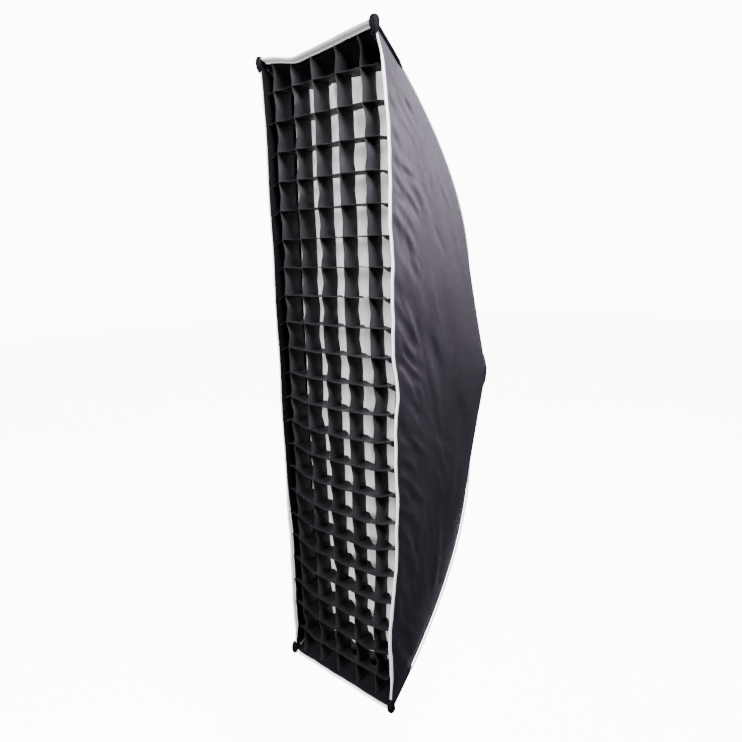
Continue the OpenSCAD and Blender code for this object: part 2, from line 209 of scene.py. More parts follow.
def grid_faces(n, m, start=0, flip=False):
    """Quads of an n by m grid of vertices. flip turns them over."""
    i, j = np.meshgrid(np.arange(n - 1), np.arange(m - 1), indexing="ij")
    a = start + i * m + j
    quads = np.stack([a, a + m, a + m + 1, a + 1], -1).reshape(-1, 4)
    return quads[:, ::-1] if flip else quads


def thick_grid(points, n, thickness):
    """Vertices and faces of a cloth with two sides and a rim. n points outward."""
    rows, cols = points.shape[:2]
    inner = points - n * thickness
    verts = np.concatenate([points.reshape(-1, 3), inner.reshape(-1, 3)])
    du, dv = points[1, 0] - points[0, 0], points[0, 1] - points[0, 0]
    flip = np.dot(np.cross(du, dv), n[0, 0]) < 0
    count = rows * cols
    outer_f = grid_faces(rows, cols, 0, flip)
    inner_f = grid_faces(rows, cols, count, not flip)
    loop = np.concatenate(
        [
            np.arange(rows - 1) * cols,
            (rows - 1) * cols + np.arange(cols - 1),
            np.arange(rows - 1, 0, -1) * cols + cols - 1,
            np.arange(cols - 1, 0, -1),
        ]
    )
    nxt = np.roll(loop, -1)
    rim = np.stack([loop, loop + count, nxt + count, nxt], -1)
    rim = rim if not flip else rim[:, ::-1]
    faces = np.concatenate([outer_f, inner_f, rim])
    slots = np.concatenate([np.zeros(len(outer_f)), np.ones(len(inner_f)), np.zeros(len(rim))])
    return verts, faces, slots


def cloth(name, points, outward, thickness, material):
    """A cloth piece of one material from a grid of points."""
    verts, faces, _ = thick_grid(points, normals(points, outward), thickness)
    return new_mesh(name, verts, faces, [material])


def tube(points, radius, sides=10):
    """Vertices and faces of a round bar along points. radius is a number or one per point."""
    p = np.asarray(points, float)
    radius = np.broadcast_to(radius, len(p))
    d = np.gradient(p, axis=0)
    d /= np.linalg.norm(d, axis=1, keepdims=True)
    ref = np.array([0.0, 1.0, 0.0]) if abs(d[0][1]) < 0.9 else np.array([1.0, 0.0, 0.0])
    rings = []
    u = np.cross(d[0], ref)
    for k in range(len(p)):
        u = u - d[k] * np.dot(u, d[k])
        u /= np.linalg.norm(u)
        v = np.cross(d[k], u)
        a = np.linspace(0, 2 * np.pi, sides, endpoint=False)
        rings.append(p[k] + radius[k] * (np.cos(a)[:, None] * u + np.sin(a)[:, None] * v))
    verts = np.concatenate(rings)
    faces = []
    for k in range(len(p) - 1):
        for j in range(sides):
            a, b = k * sides + j, k * sides + (j + 1) % sides
            faces.append((a, b, b + sides, a + sides))
    faces.append(tuple(range(sides))[::-1])
    faces.append(tuple(range((len(p) - 1) * sides, len(p) * sides)))
    return verts, faces


def joined(parts):
    """One list of vertices and faces from several."""
    verts, faces, offset = [], [], 0
    for v, f in parts:
        verts.append(v)
        faces += [[i + offset for i in face] for face in f]
        offset += len(v)
    return np.concatenate(verts), faces


# ---------------------------------------------------------------- materials
class Nodes:
    """A material's node tree. An input is a number, a colour or another node's socket."""

    def __init__(self, name):
        self.mat = bpy.data.materials.new(name)
        self.mat.use_nodes = True
        self.tree = self.mat.node_tree
        self.bsdf = self.tree.nodes["Principled BSDF"]

    def add(self, kind, inputs=None, **props):
        node = self.tree.nodes.new(kind)
        for k, v in props.items():
            setattr(node, k, v)
        for k, v in (inputs or {}).items():
            if isinstance(v, bpy.types.NodeSocket):
                self.tree.links.new(v, node.inputs[k])
            else:
                node.inputs[k].default_value = v
        return node

    def set(self, **values):
        for k, v in values.items():
            key = k.replace("_", " ")
            if isinstance(v, bpy.types.NodeSocket):
                self.tree.links.new(v, self.bsdf.inputs[key])
            else:
                self.bsdf.inputs[key].default_value = v

    def coords(self):
        return self.add("ShaderNodeTexCoord").outputs["Object"]

    def math(self, operation, a, b=0.0, c=0.0):
        return self.add("ShaderNodeMath", {0: a, 1: b, 2: c}, operation=operation).outputs[0]

    def noise(self, scale, detail=3.0, vector=None, rough=0.5):
        return self.add(
            "ShaderNodeTexNoise",
            {"Vector": vector or self.coords(), "Scale": scale, "Detail": detail, "Roughness": rough},
        ).outputs["Fac"]

    def ramp(self, fac, stops):
        node = self.add("ShaderNodeValToRGB", {"Fac": fac})
        el = node.color_ramp.elements
        el[0].position, el[0].color = stops[0][0], (*stops[0][1], 1)
        el[1].position, el[1].color = stops[-1][0], (*stops[-1][1], 1)
        for pos, col in stops[1:-1]:
            e = el.new(pos)
            e.color = (*col, 1)
        return node.outputs["Color"]

    def attribute(self, name):
        return self.add("ShaderNodeAttribute", attribute_name=name).outputs["Fac"]

    def waves(self, axis, scale):
        return self.add(
            "ShaderNodeTexWave",
            {"Vector": self.coords(), "Scale": scale},
            wave_type="BANDS",
            bands_direction=axis,
        ).outputs["Fac"]

    def weave(self, scale, across="Z", along="Y"):
        return self.math("MAXIMUM", self.waves(across, scale), self.waves(along, scale * 0.93))

    def bump(self, height, distance, strength=1.0, normal=None):
        inputs = {"Height": height, "Distance": distance, "Strength": strength}
        if normal is not None:
            inputs["Normal"] = normal
        return self.add("ShaderNodeBump", inputs).outputs["Normal"]


def nylon(name, dark, light, rough, sheen, gloss, fleck=0.2):
    """Coated woven cloth: a fine weave, slow colour change and a soft sheen."""
    n = Nodes(name)
    slow = n.noise(9.0, 4.0)
    fine = n.noise(420.0, 2.0)
    mixed = n.math("ADD", n.math("MULTIPLY", slow, 1 - fleck), n.math("MULTIPLY", fine, fleck))
    n.set(Base_Color=n.ramp(mixed, [(0.3, dark), (0.7, light)]))
    weave = n.weave(520.0)
    n.set(Roughness=n.math("MULTIPLY_ADD", slow, 0.12, rough))
    wrinkles = n.bump(n.noise(38.0, 5.0, rough=0.55), 0.0009, 0.55)
    n.set(Normal=n.bump(weave, 0.00012, 0.5, wrinkles))
    n.set(Sheen_Weight=sheen, Sheen_Roughness=0.45, Sheen_Tint=(0.86, 0.82, 1.0, 1))
    n.set(Specular_IOR_Level=gloss, Specular_Tint=(0.91, 0.78, 1.0, 1))
    return n.mat


def tape(name, edge, middle, rough):
    """Binding tape: pale at both edges, darker across the middle, and a row of stitches along it."""
    n = Nodes(name)
    across = n.attribute("across")
    along = n.attribute("along")
    stops = [(0.0, edge), (0.24, edge), (0.36, middle), (0.66, middle), (0.78, edge), (1.0, edge)]
    # Colour across the tape: pale at both edges, darker in the middle.
    edge_banding = n.ramp(across, stops)
    n.tree.nodes[-1].color_ramp.interpolation = "EASE"
    dash = n.math("GREATER_THAN", n.math("SINE", n.math("MULTIPLY", along, 1.6)), -0.2)
    line = n.math("LESS_THAN", n.math("ABSOLUTE", n.math("SUBTRACT", across, 0.2)), 0.035)
    stitch = n.math("MULTIPLY", dash, line)
    mix = n.add("ShaderNodeMix", {0: stitch, 6: edge_banding, 7: (0.45, 0.45, 0.47, 1)}, data_type="RGBA")
    worn = n.noise(60.0, 4.0)
    soil = n.add(
        "ShaderNodeMix",
        {0: n.math("MULTIPLY", worn, 0.22), 6: mix.outputs[2], 7: (0.42, 0.42, 0.46, 1)},
        data_type="RGBA",
    )
    n.set(Base_Color=soil.outputs[2], Roughness=rough)
    height = n.math("ADD", n.math("MULTIPLY", n.weave(640.0), 0.3), stitch)
    n.set(Normal=n.bump(height, 0.0003, 0.6))
    n.set(Sheen_Weight=0.2, Sheen_Roughness=0.4)
    return n.mat


def metal(name, colour, rough, brushed, metallic=1.0):
    """Metal with fine streaks. brushed stretches them along an axis."""
    n = Nodes(name)
    scaled = n.add("ShaderNodeMapping", {"Vector": n.coords(), "Scale": brushed}).outputs[0]
    streak = n.noise(600.0, 3.0, scaled)
    spots = n.noise(45.0, 5.0)
    dark = tuple(c * 0.78 for c in colour)
    n.set(Base_Color=n.ramp(spots, [(0.35, dark), (0.6, colour)]), Metallic=metallic)
    n.set(Roughness=n.math("MULTIPLY_ADD", streak, 0.18, rough - 0.07))
    n.set(Normal=n.bump(streak, 0.00008, 0.5))
    return n.mat


def moulded(name, colour, rough):
    """Moulded plastic with a fine grain."""
    n = Nodes(name)
    grain = n.noise(900.0, 2.0)
    slow = n.noise(30.0, 4.0)
    light = tuple(min(1, c * 1.35 + 0.01) for c in colour)
    n.set(Base_Color=n.ramp(slow, [(0.35, colour), (0.7, light)]))
    n.set(Roughness=n.math("MULTIPLY_ADD", slow, 0.15, rough))
    n.set(Normal=n.bump(grain, 0.00012, 0.4))
    return n.mat


def diffusion(name, colour):
    """Thin white diffusion cloth."""
    n = Nodes(name)
    slow = n.noise(7.0, 4.0)
    light = tuple(min(1, c * 1.06) for c in colour)
    n.set(Base_Color=n.ramp(slow, [(0.35, colour), (0.7, light)]), Roughness=0.75)
    n.set(Normal=n.bump(n.weave(560.0, "Z", "X"), 0.00015, 0.5))
    n.set(Sheen_Weight=0.15, Sheen_Roughness=0.5)
    return n.mat


def strip_cloth(name, tone):
    """Soft black grid strips with a felt-like sheen. tone scales how pale they are."""
    n = Nodes(name)
    slow = n.noise(14.0, 4.0)
    fuzz = n.noise(700.0, 3.0)
    dark = tuple(c * tone for c in (0.0180, 0.0174, 0.0198))
    pale = tuple(c * tone for c in (0.0320, 0.0309, 0.0350))
    n.set(Base_Color=n.ramp(slow, [(0.3, dark), (0.7, pale)]))
    n.set(Roughness=n.math("MULTIPLY_ADD", fuzz, 0.15, 0.38))
    n.set(Normal=n.bump(fuzz, 0.0002, 0.5, n.bump(n.noise(30.0, 4.0), 0.0008, 0.5)))
    n.set(Sheen_Weight=0.02, Sheen_Roughness=0.5, Sheen_Tint=(0.9, 0.9, 1.0, 1))
    n.set(Specular_IOR_Level=0.22 * tone, Specular_Tint=(0.93, 0.92, 1.0, 1))
    return n.mat


def lining_cloth(name):
    """Silver lining with a pebbled emboss."""
    n = Nodes(name)
    cells = n.add("ShaderNodeTexVoronoi", {"Vector": n.coords(), "Scale": 260.0}).outputs["Distance"]
    slow = n.noise(12.0, 4.0)
    n.set(Base_Color=n.ramp(slow, [(0.35, (0.50, 0.50, 0.51)), (0.7, (0.68, 0.68, 0.69))]))
    n.set(Metallic=0.75, Roughness=n.math("MULTIPLY_ADD", cells, 0.25, 0.3))
    n.set(Normal=n.bump(cells, 0.0004, 0.7))
    return n.mat


NYLON_TONES = ((0.0018, 0.0015, 0.0022), (0.0038, 0.0032, 0.0046))
BLACK = nylon("black_nylon", *NYLON_TONES, 0.39, 0.02, 0.30)
CAP_BLACK = nylon("matt_black_nylon", *NYLON_TONES, 0.46, 0.02, 0.12)
SILVER = lining_cloth("silver_lining")
TAPE = tape("white_tape", (0.92, 0.92, 0.95), (0.36, 0.36, 0.41), 0.42)
PIPE = nylon("piping_cord", (0.62, 0.62, 0.65), (0.78, 0.78, 0.81), 0.45, 0.1, 0.4)
WELT = nylon("grey_welt", (0.022, 0.020, 0.034), (0.036, 0.033, 0.052), 0.5, 0.02, 0.08)
# The upper seams' welt is a pale copy of the dark welt: a painted sheen for the light the black nylon takes
# from above.
SHEEN_PAINTED_WELT = nylon("welt_painted_sheen", (0.26, 0.25, 0.28), (0.32, 0.31, 0.34), 0.5, 0.05, 0.2)
WEBBING = nylon("corner_webbing", (0.0010, 0.0010, 0.0012), (0.0030, 0.0030, 0.0034), 0.55, 0.0, 0.06)
DIFFUSER = diffusion("diffusion_cloth", (0.60, 0.62, 0.62))
STRIP = strip_cloth("grid_fabric", 0.68)
# The crosspieces take the grid fabric at a much lower tone than the uprights: painted shade, since both are
# one fabric.
SHADED_CROSS_STRIP = strip_cloth("grid_fabric_painted_shade", 0.26)
# The hem facing is the black nylon made darker still: painted shade for the inside of the mouth and the grid
# border.
SHADE_FACING = nylon("hem_facing_painted_shade", (0.0008, 0.0008, 0.0009), (0.0022, 0.0021, 0.0024), 0.5, 0.0, 0.06)
ELASTIC = nylon("elastic", (0.010, 0.010, 0.010), (0.022, 0.022, 0.022), 0.6, 0.1, 0.2)
HOOK = nylon("hook_loop", (0.006, 0.006, 0.006), (0.014, 0.014, 0.014), 0.85, 0.2, 0.1, 0.5)
BAYONET = metal("bayonet_steel", (0.60, 0.60, 0.61), 0.30, (1, 8, 1))
RING = metal("ring_grey", (0.30, 0.31, 0.33), 0.38, (1, 1, 1))
BLACK_METAL = metal("black_metal", (0.035, 0.035, 0.038), 0.42, (1, 1, 1), 0.6)
SPRING = metal("spring_steel", (0.55, 0.55, 0.57), 0.28, (6, 1, 1))
ROD = metal("rod_steel", (0.48, 0.48, 0.50), 0.30, (1, 1, 1))
FERRULE = moulded("ferrule", (0.012, 0.012, 0.013), 0.3)
BUTTON = moulded("button_red", (0.42, 0.02, 0.015), 0.28)


# ---------------------------------------------------------------- body helpers
# A corner is (hx, hz): hx is 1 on the right and -1 on the left, hz is 1 at the top and -1 at the bottom.
ARM = {(1, 1): "arm_ur", (-1, 1): "arm_ul", (1, -1): "arm_lr", (-1, -1): "arm_ll"}
CORNER = {k: v[-2:] for k, v in ARM.items()}


def follow_arm(obj):
    """Bakes a piece's placement into its mesh."""
    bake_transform(obj)


def gather_on_arm(obj, hx, hz):
    """A piece that rides on an arm."""
    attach(obj, ARM[hx, hz])
    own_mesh(obj)


def close_in(obj, body):
    """A piece in the middle of the box that rides on a body."""
    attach(obj, body)
    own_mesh(obj)


# ---------------------------------------------------------------- wrinkles
rng = np.random.default_rng(7)


def folds(y, z, count, spans, lengths, lean, depth):
    """Raised folds on a panel: soft ridges with a place, a length, a lean and a width."""
    total = np.zeros_like(y)
    for _ in range(count):
        cy = rng.uniform(*spans[0])
        cz = rng.uniform(*spans[1])
        length = rng.uniform(*lengths)
        angle = math.radians(rng.normal(lean[0], lean[1]))
        width = max(rng.uniform(0.10, 0.22) * length, 6.0)
        amp = rng.uniform(0.4, 1.0) * depth * rng.choice([-1, 1])
        along = (y - cy) * math.sin(angle) + (z - cz) * math.cos(angle)
        across = (y - cy) * math.cos(angle) - (z - cz) * math.sin(angle)
        across = across + 0.0012 * rng.uniform(-1, 1) * along**2
        total += amp * np.exp(-((along / length) ** 2)) * (
            np.exp(-((across / width) ** 2)) - 0.5 * np.exp(-(((across - 1.4 * width) / width) ** 2))
        )
    return total


def side_relief(points, hand):
    """Wrinkles of a long side: many short ones behind the hem, and soft long ones further back."""
    y, z = points[..., 1], points[..., 2]
    t = np.sqrt(np.clip((REAR - y) / DEPTH, 0, 1))
    edge = smooth((1 - np.abs(z) / (seam_r(t) * COS)) / 0.06) * smooth((t - 0.12) / 0.2)
    bow = (long_bow if hand > 0 else left_bow)(z)
    near_hem = folds(y - bow, z, 130, ((-374, -310), (-560, 580)), (18, 46), (-36, 13), 3.4)
    middle = folds(y, z, 40, ((-330, -190), (-420, 460)), (30, 90), (-24, 16), 1.5)
    tension = folds(y, z, 12, ((-300, -120), (-260, 320)), (90, 170), (-26, 14), 1.1)
    hem_fade = smooth((y - bow - HEM_Y - 6) / 14)
    near_hem = near_hem * (1 - 0.5 * smooth((z - 250) / 200))
    total = near_hem + middle + tension + 1.4 * smooth((t - 0.75) / 0.1)
    inward = 2.0 - 1.5 * smooth((t - 0.80) / 0.07)
    total = np.where(total < 0, inward * np.tanh(total / inward), 5.0 * np.tanh(total / 5.0))
    return total * edge * hem_fade


def cap_relief(points):
    """Slow ripples of the top and bottom panels."""
    x, y = points[..., 0], points[..., 1]
    t = np.sqrt(np.clip((REAR - y) / DEPTH, 0, 1))
    edge = smooth((1 - np.abs(x) / (seam_r(t) * SIN)) / 0.15) * smooth((t - 0.12) / 0.2)
    return 1.2 * np.sin(x / 21.0 + y / 60.0) * np.sin(y / 47.0) * edge * smooth((y - HEM_Y - 6) / 16)


# ---------------------------------------------------------------- canopy panels
SIDE_ROWS, SIDE_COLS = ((90, 110))
CAP_COLS = 41
PANEL_THICK = 1.2


def add_shade_facing(slots, t):
    """Puts a near-black facing, darker than the outer nylon, on the inside of a panel from the diffuser's
    tape to the hem: painted shade for the inside of the mouth.
    """
    inside = np.flatnonzero(slots == 1)
    row = np.arange(len(inside)) // (len(inside) // (len(t) - 1))
    slots[inside[t[row, 0] > 0.9]] = 2
    return slots


def make_panels():
    """Each panel is one curved sheet, cut along its middle. The halves of the top and bottom panels ride on
    their own rods.
    """
    for hx, side in ((1, "right"), (-1, "left")):
        t = np.linspace(0, 1, SIDE_ROWS)[:, None]
        s = np.linspace(-1, 1, 2 * SIDE_COLS - 1)[None, :]
        whole = side_points(t + 0 * s, s + 0 * t, hx)
        n = normals(whole, (hx, 0.6, 0))
        whole = whole + n * side_relief(whole, hx)[..., None]
        n = normals(whole, (hx, 0.6, 0))
        for hz, half in ((1, "upper"), (-1, "lower")):
            cut = slice(SIDE_COLS - 1, None) if hz > 0 else slice(0, SIDE_COLS)
            verts, faces, slots = thick_grid(whole[:, cut], n[:, cut], PANEL_THICK)
            obj = new_mesh(f"panel_{side}_{half}", verts, faces, [BLACK, SILVER, SHADE_FACING], add_shade_facing(slots, t))
            follow_arm(obj)
            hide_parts(f"panel_{side}", f"lining_{side}")
    for hz, cap in ((1, "top"), (-1, "bottom")):
        t = np.linspace(0, 1, SIDE_ROWS)[:, None]
        s = np.linspace(-0.995, 0.995, 2 * CAP_COLS - 1)[None, :]
        whole = cap_points(t + 0 * s, s + 0 * t, hz)
        n = normals(whole, (0, 0.6, hz))
        whole = whole + n * cap_relief(whole)[..., None]
        n = normals(whole, (0, 0.6, hz))
        for hx, half in ((1, "right"), (-1, "left")):
            cut = slice(CAP_COLS - 1, None) if hx > 0 else slice(0, CAP_COLS)
            verts, faces, slots = thick_grid(whole[:, cut], n[:, cut], PANEL_THICK)
            obj = new_mesh(f"panel_{cap}_{half}", verts, faces, [CAP_BLACK, SILVER, SHADE_FACING], add_shade_facing(slots, t))
            gather_on_arm(obj, hx, hz)
            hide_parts(f"panel_{cap}", f"lining_{cap}")


make_panels()


# ---------------------------------------------------------------- hem bindings
def tape_section(back, front, inner_leg):
    """Folded tape: outer leg, fold, inner leg. Each point has t, depth and its place across the tape."""
    line = [(back + (front - back) * k, -0.9, k) for k in np.linspace(0, 1, 5)]
    for a in np.radians(np.linspace(90, -90, 7)[1:-1]):
        line.append((front + 0.0018 * math.cos(a), 0.6 - 1.5 * math.sin(a), 1.0))
    line += [(back + (front - back) * k, 2.1, k) for k in np.linspace(1, 1 - inner_leg, 5)]
    return line


HEM_SLOPE = 780.0  # mm along the canopy for a change of 1 in t, at the hem
FRONT_T = 1.0005
SIDE_END, CAP_END = 0.975, 0.955  # s where the tape goes under a corner pocket


def make_binding(surface, hand, outward, half, s, width, inner_leg):
    """A folded tape swept along a hem. half is how long half the hem is, in mm."""
    step = width / HEM_SLOPE
    line = tape_section(1 - step, FRONT_T, inner_leg)
    base_t = np.array([c[0] for c in line])
    depth = np.array([c[1] for c in line])
    across = np.array([c[2] for c in line])
    tt, ss = np.meshgrid(base_t, s, indexing="ij")
    narrows = surface is side_points
    taper = 0.25 + 0.75 * smooth((half * (1 - np.abs(ss)) - 12) / 60) if narrows else 1.0
    tt = FRONT_T + (tt - FRONT_T) * taper
    points = surface(tt, ss, hand)
    grid_t = np.linspace(1 - step, FRONT_T, 4)
    gt, gs = np.meshgrid(grid_t, s, indexing="ij")
    n_line = normals(surface(gt, gs, hand), outward)[1]
    points = points - n_line[None] * depth[:, None, None]
    along = ss * half
    points[..., 1] += 0.5 * np.sin(along / 19.0) + 0.35 * np.sin(along / 7.3 + 1.0)
    return points, {"across": np.repeat(across[:, None], len(s), 1), "along": along}


def make_bindings():
    """White tape over each hem, in halves. The halves on the top and bottom hems ride on their own rods."""
    for hx, side in ((1, "right"), (-1, "left")):
        for hz, half in ((1, "upper"), (-1, "lower")):
            span = (0.0, SIDE_END) if hz > 0 else (-SIDE_END, 0.0)
            s = np.linspace(*span, 110)
            width = 5.2 if hx > 0 else 7.0
            inner_leg = 0.9 if (hx, hz) == (-1, -1) else 0.4
            points, attributes = make_binding(side_points, hx, (hx, 0.6, 0), HALF_H, s, width, inner_leg)
            obj = cloth_shell(f"binding_{side}_{half}", points, attributes)
            follow_arm(obj)
            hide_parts(f"binding_{side}")
    for hz, cap in ((1, "top"), (-1, "bottom")):
        for hx, half in ((1, "right"), (-1, "left")):
            span = (0.0, CAP_END) if hx > 0 else (-CAP_END, 0.0)
            s = np.linspace(*span, 40)
            width, inner_leg = (9.5, 1.0) if hz > 0 else (6.0, 0.5)
            points, attributes = make_binding(cap_points, hz, (0, 0.6, hz), HALF_W, s, width, inner_leg)
            obj = cloth_shell(f"binding_{cap}_{half}", points, attributes)
            gather_on_arm(obj, hx, hz)
            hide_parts(f"binding_{cap}")


def cloth_shell(name, points, attributes):
    """The mesh of a folded tape, 0.6 mm thick, from its outer surface."""
    d = np.gradient(points, axis=0)
    e = np.gradient(points, axis=1)
    n = np.cross(d, e)
    n /= np.maximum(np.linalg.norm(n, axis=-1, keepdims=True), 1e-9)
    out = points[0] - points.mean(axis=0)
    if (n[0] * out).sum(-1).mean() < 0:
        n = -n
    verts, faces, _ = thick_grid(points, n, 0.6)
    doubled = {k: np.concatenate([v.ravel(), v.ravel()]) for k, v in attributes.items()}
    return new_mesh(name, verts, faces, [TAPE], None, doubled)


make_bindings()


# ---------------------------------------------------------------- seam piping and corners
PIPE_END = 0.905  # t where the piping goes into the rod sleeve


def seam_point(t, lift, hx, hz, turn):
    """A point on a corner seam, lifted away from it in the rod's plane, and turned across it in mm."""
    r, y = seam_r(t), seam_y(t)
    n_r, n_y = 2 * DEPTH * t, REACH - RING_R
    size = np.hypot(n_r, n_y)
    r = r + lift * n_r / size
    y = y + lift * n_y / size
    return np.stack([hx * (r * SIN + turn * COS), y + 0 * r, hz * (r * COS - turn * SIN)], -1)


def make_piping():
    """A pale cord and a thin welt along each corner seam, and a black sleeve at its end."""
    for (hx, hz), arm in ARM.items():
        c = CORNER[hx, hz]
        t = np.linspace(0.015, PIPE_END, 120)
        lift, turn = (2.0, -1.5) if hz > 0 else (1.6, 2.4)
        cord = tube(seam_point(t, lift, hx, hz, turn), 1.9, 10)
        obj = new_mesh(f"piping_{c}", *cord, [PIPE])
        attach(obj, arm)
        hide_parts(f"piping_{c}")
        lift, turn = (0.9, -4.8) if hz > 0 else (4.4, 0.2)
        welt = tube(seam_point(t, lift, hx, hz, turn), 1.6, 8)
        # Upper welts take the pale copy: painted sheen.
        edging = new_mesh(f"welt_{c}", *welt, [SHEEN_PAINTED_WELT if hz > 0 else WELT])
        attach(edging, arm)
        t = np.linspace(PIPE_END - 0.006, 1.0, 30)
        radius = 4.0 * np.clip((t - t[0]) / 0.012, 0.35, 1) ** 0.5
        sleeve = tube(seam_point(t, 0.2, hx, hz, -0.8), radius, 14)
        sock = new_mesh(f"rod_sleeve_{c}", *sleeve, [WEBBING])
        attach(sock, arm)


make_piping()


def box_round(a):
    """Squares off a sine, so that a ball becomes a rounded box."""
    return np.sign(a) * np.abs(a) ** 0.62


POCKET_AT, POCKET_HALF = (151.0, -386.0, 594.5), (6.8, 7.5, 14.0)


def make_pockets():
    """Rounded webbing caps over the corners, pinched where they are sewn."""
    for (hx, hz), arm in ARM.items():
        c = CORNER[hx, hz]
        n, m = 24, 28
        u = np.linspace(0, np.pi, n)[:, None]
        v = np.linspace(0, 2 * np.pi, m, endpoint=False)[None, :]
        x = box_round(np.sin(u) * np.cos(v)) * POCKET_HALF[0]
        y = box_round(np.sin(u) * np.sin(v)) * POCKET_HALF[1]
        z = box_round(np.cos(u) + 0 * v) * POCKET_HALF[2]
        squeeze = 1 - 0.35 * smooth((2 - z) / 14)
        x, y = x * squeeze + 1.5 * (1 - squeeze), y * squeeze
        points = np.stack([x, y, z], -1) + POCKET_AT
        ripple = 0.5 * np.sin(v * 5 + u * 3) * np.sin(u)
        points[..., 0] += ripple
        points = points * np.array([hx, 1, hz])
        verts = points.reshape(-1, 3)
        faces = []
        for i in range(n - 1):
            for j in range(m):
                a, b = i * m + j, i * m + (j + 1) % m
                faces.append((a, b, b + m, a + m) if hx * hz > 0 else (a, a + m, b + m, b))
        obj = new_mesh(f"corner_pocket_{c}", verts, faces, [WEBBING])
        weld(obj)
        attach(obj, arm)
        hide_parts(f"corner_pocket_{c}")


def weld(obj):
    """Closes a mesh whose ends meet, and turns its faces outward."""
    bm = bmesh.new()
    bm.from_mesh(obj.data)
    bmesh.ops.remove_doubles(bm, verts=bm.verts, dist=1e-5)
    bmesh.ops.recalc_face_normals(bm, faces=bm.faces)
    bm.to_mesh(obj.data)
    bm.free()


make_pockets()

# ---------------------------------------------------------------- rods
ROD_AZ = math.radians(13.4)
ROD_START, ROD_START_Y, ROD_SLOPE = 90, -20, 0.0752  # where it leaves its socket, and how it leans there
ROD_BEND, ROD_CURVE = 118, 0.0013563  # where its bow starts, and how strong it is


def rod_y(r):
    """A rod's bow: straight out of its socket, then curving forward."""
    return ROD_START_Y - ROD_SLOPE * (r - ROD_START) - ROD_CURVE * np.clip(r - ROD_BEND, 0, None) ** 2


def rod_path(r, hx, hz):
    """Points along a rod, for distances r from the ring's axis."""
    return np.stack([hx * r * math.sin(ROD_AZ), rod_y(r), hz * r * math.cos(ROD_AZ)], -1)


def make_rods():
    """Bowed steel rods, with a webbing pocket over the end of each."""
    for (hx, hz), arm in ARM.items():
        c = CORNER[hx, hz]
        path = rod_path(np.concatenate([[88, 118], np.linspace(130, 600, 60)]), hx, hz)
        obj = new_mesh(f"rod_bar_{c}", *tube(path, 2.5, 14), [ROD])
        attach(obj, arm)
        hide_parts(f"rod_{c}")
        r = np.linspace(508, 605, 60)
        girth = 3.3 + 0.25 * np.sin(r / 4.1) + 0.15 * np.sin(r / 1.9)
        pocket = new_mesh(f"rod_pocket_{c}", *tube(rod_path(r, hx, hz), girth, 12), [WEBBING])
        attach(pocket, arm)


make_rods()

# ---------------------------------------------------------------- diffuser and baffle
GRID_FRONT, GRID_DEPTH = HEM_Y + 2.5, 43.0
CELLS_UP = 23
ROW_PITCH = 2 * HALF_H / CELLS_UP
BAFFLE_Y, BAFFLE_HALF_W, BAFFLE_HALF_H = -195.4, 86.0, 400.0


def cell_bow(x, z):
    """How far the grid and the diffuser are pulled back, from the left wall to the right one."""
    k = np.clip((x + HALF_W) / (2 * HALF_W), 0, 1) ** 4
    return left_bow(z) * (1 - k) + long_bow(z) * k


def make_front_diffuser():
    """White cloth across the mouth, a little wrinkled, that meets the panels at its edge."""
    u = np.linspace(-1, 1, 61)[:, None]
    w = np.linspace(-1, 1, 201)[None, :]
    x = (132.0 - 5.0 * w * w) * u
    edge_y = HEM_Y + 57.0 + cell_bow(x, 556.0 + 0 * x)
    edge_t = np.sqrt((REAR - edge_y) / DEPTH)
    edge_z = seam_r(edge_t) * COS - 5.0
    z = np.where(w > 0, edge_z - top_sag(x) * edge_t**5, np.minimum(edge_z, 552.0) - 2.0) * w
    drift = 0.8 * np.sin(z / 90.0) + 0.4 * np.sin(z / 37.0 + 1.0)
    ripple = 2.8 * np.sin(x / 6.5 + drift) + 1.6 * np.sin(x / 3.9 - 1.7 * drift + 2.0)
    ripple = ripple * (0.6 + 0.4 * np.sin(z / 61.0 + x / 50.0)) + 0.9 * np.sin(z / 29.0 + x / 40.0)
    back = 6.0 * (1 - u * u) * smooth((1 - np.abs(w)) / 0.1)
    y = HEM_Y + 55 + back + cell_bow(x, z) + ripple * smooth((1 - np.abs(u)) / 0.2)
    obj = cloth("front_diffuser_cloth", np.stack([x, y, z], -1), (0, -1, 0), 0.7, DIFFUSER)
    close_in(obj, "speed_ring")
    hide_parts("front_diffuser")


def make_baffle():
    """A smaller white cloth in front of the lamp, held by six elastic straps."""
    u = np.linspace(-1, 1, 41)[:, None]
    w = np.linspace(-1, 1, 121)[None, :]
    x = BAFFLE_HALF_W * u + 0 * w
    z = BAFFLE_HALF_H * w + 0 * u
    sag = 2.2 * np.sin(x / 19.0) * np.cos(z / 60.0) + 4 * (1 - u**2) * (1 - w**2)
    obj = cloth("inner_baffle_cloth", np.stack([x, BAFFLE_Y + sag, z], -1), (0, -1, 0), 0.7, DIFFUSER)
    close_in(obj, "speed_ring")
    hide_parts("inner_baffle")
    parts = []
    for hx in (-1, 1):
        for z0 in (-330, 0, 330):
            a = np.linspace(0, 1, 9)[:, None]
            b = np.linspace(-1, 1, 5)[None, :]
            xs = hx * (BAFFLE_HALF_W + 20 * a) + 0 * b
            zs = z0 + 6 * b * (1 - 0.25 * np.sin(np.pi * a))
            ys = BAFFLE_Y + 1.2 * np.sin(np.pi * a * 2) + 0 * b
            p = np.stack([xs, ys, zs], -1)
            v, f, _ = thick_grid(p, normals(p, (0, -1, 0)), 0.9)
            parts.append((v, f.tolist()))
    straps = new_mesh("baffle_elastics", *joined(parts), [ELASTIC])
    close_in(straps, "speed_ring")
    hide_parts("baffle_straps")


